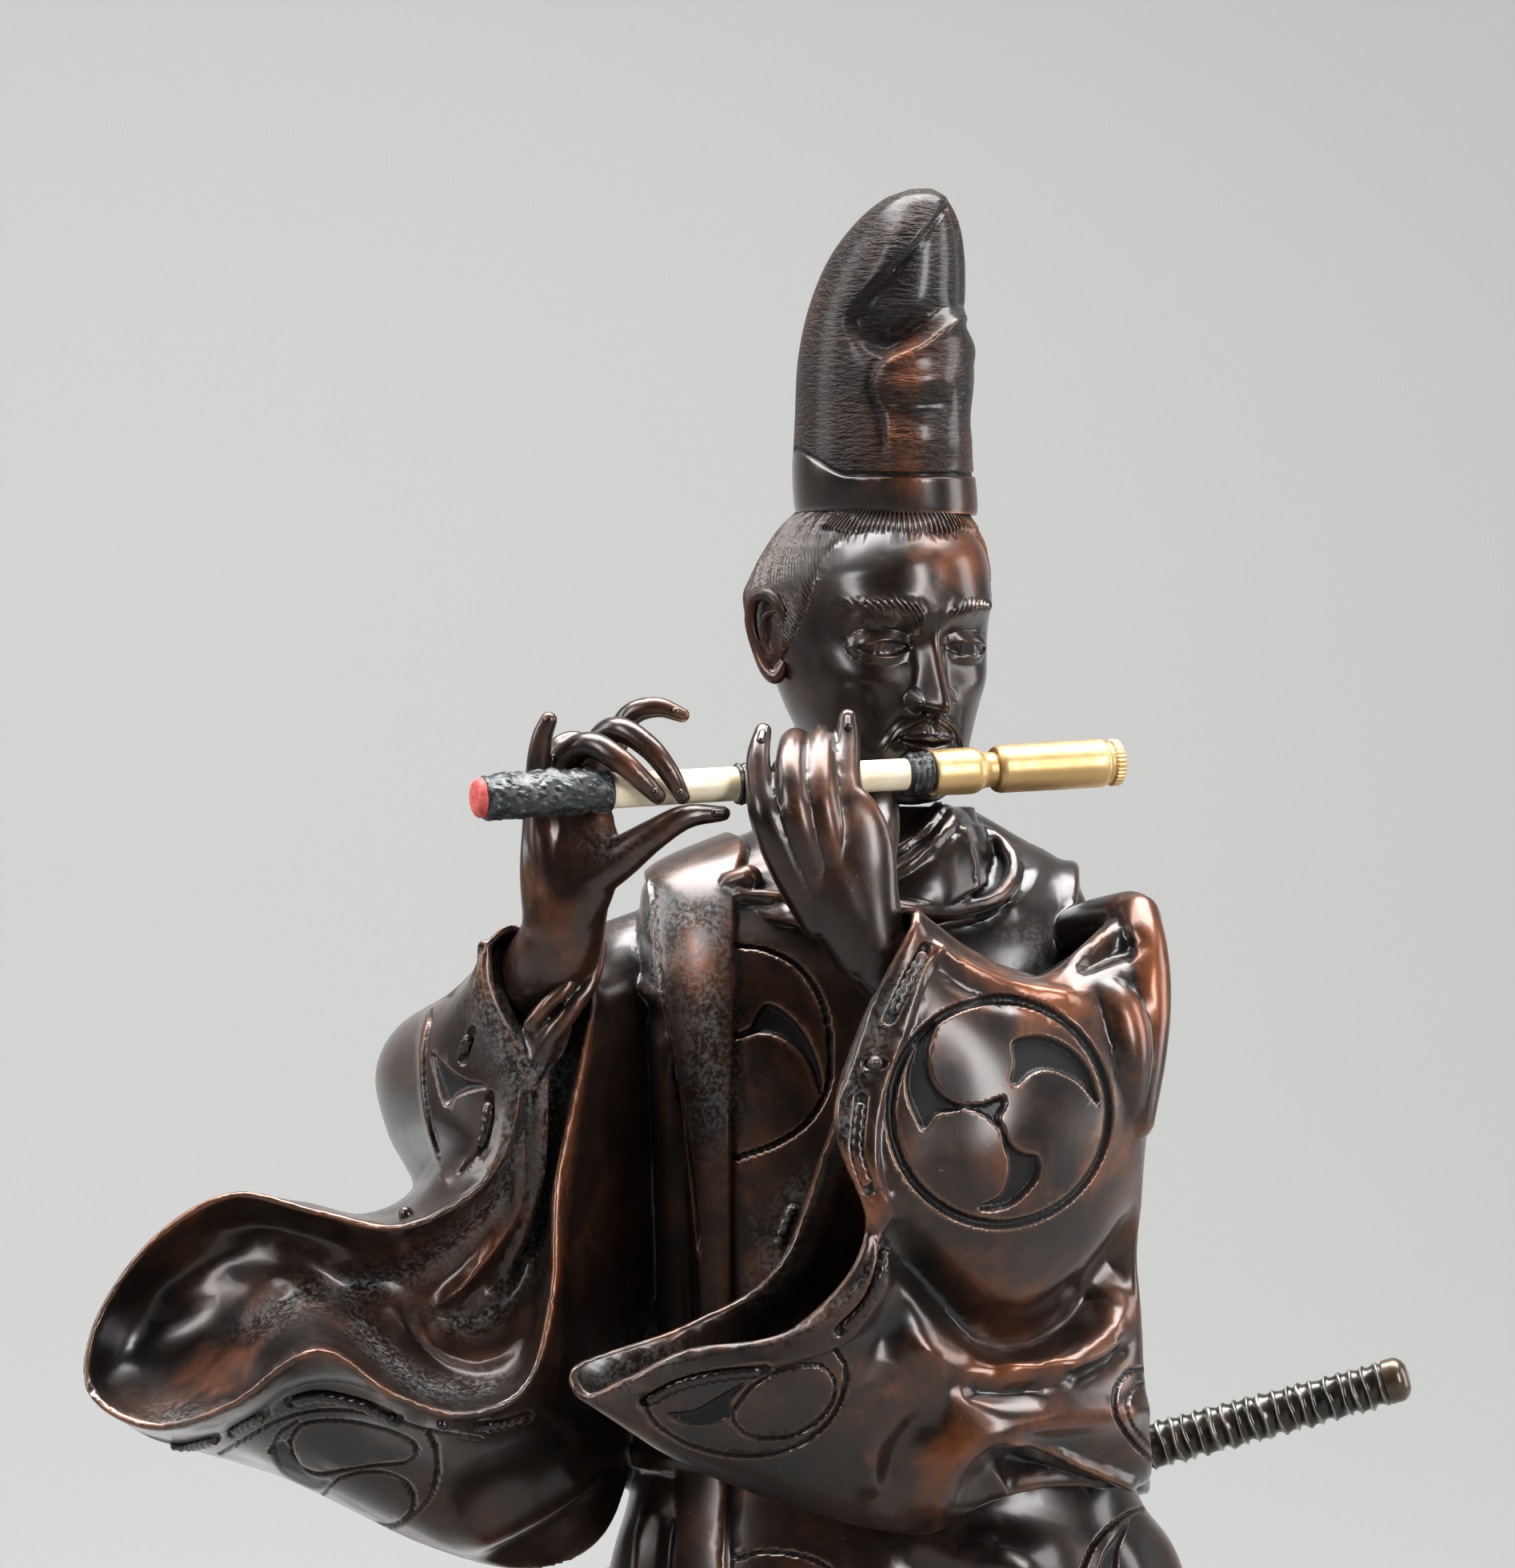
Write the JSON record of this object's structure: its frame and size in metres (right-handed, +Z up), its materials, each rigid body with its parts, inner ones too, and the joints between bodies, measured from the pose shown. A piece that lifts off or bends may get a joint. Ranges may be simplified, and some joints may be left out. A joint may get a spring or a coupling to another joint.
{
  "type": "bronze statuette",
  "caption": "Standing court warrior in cast bronze, in a tall cap and wide-sleeved robe, playing a side-blown flute, a sword slung behind the hip, on a low plinth",
  "frame": {"origin": "centre of the plinth's flat underside", "axes": "+Z up, the figure faces -Y, +X to the viewer's right as seen from the front"},
  "size_m": [0.2666, 0.1501, 0.466],
  "materials": {
    "bronze_figure": "dark brown patina, polished by handling, worn red-brown on the high parts",
    "bronze_plinth": "dark brown patina, satin",
    "bronze_hilt": "brown patina, bright on the ridges of the wrapping",
    "bronze_scabbard": "dark brown patina, semi-gloss",
    "red_tip": "matt red lacquer",
    "dark_wrap": "ridged dark binding under worn lacquer",
    "ivory_tube_long": "ivory-coloured, fine lengthwise grain",
    "dark_band_middle": "dark bound ring under lacquer",
    "ivory_tube_short": "ivory-coloured, fine lengthwise grain",
    "dark_band_head": "dark bound ring under lacquer",
    "brass_front": "tarnished yellow brass, satin",
    "brass_rear": "tarnished yellow brass, satin"
  },
  "bodies": {
    "root": {"figure": "bronze_figure", "plinth": "bronze_plinth", "sword_hilt": "bronze_hilt", "scabbard": "bronze_scabbard", "flute_end_tip": "red_tip", "flute_end_wrap": "dark_wrap", "flute_tube_long": "ivory_tube_long", "flute_band_middle": "dark_band_middle", "flute_tube_short": "ivory_tube_short", "flute_band_head": "dark_band_head", "flute_case_front": "brass_front", "flute_case_rear": "brass_rear"}
  },
  "joints": []
}
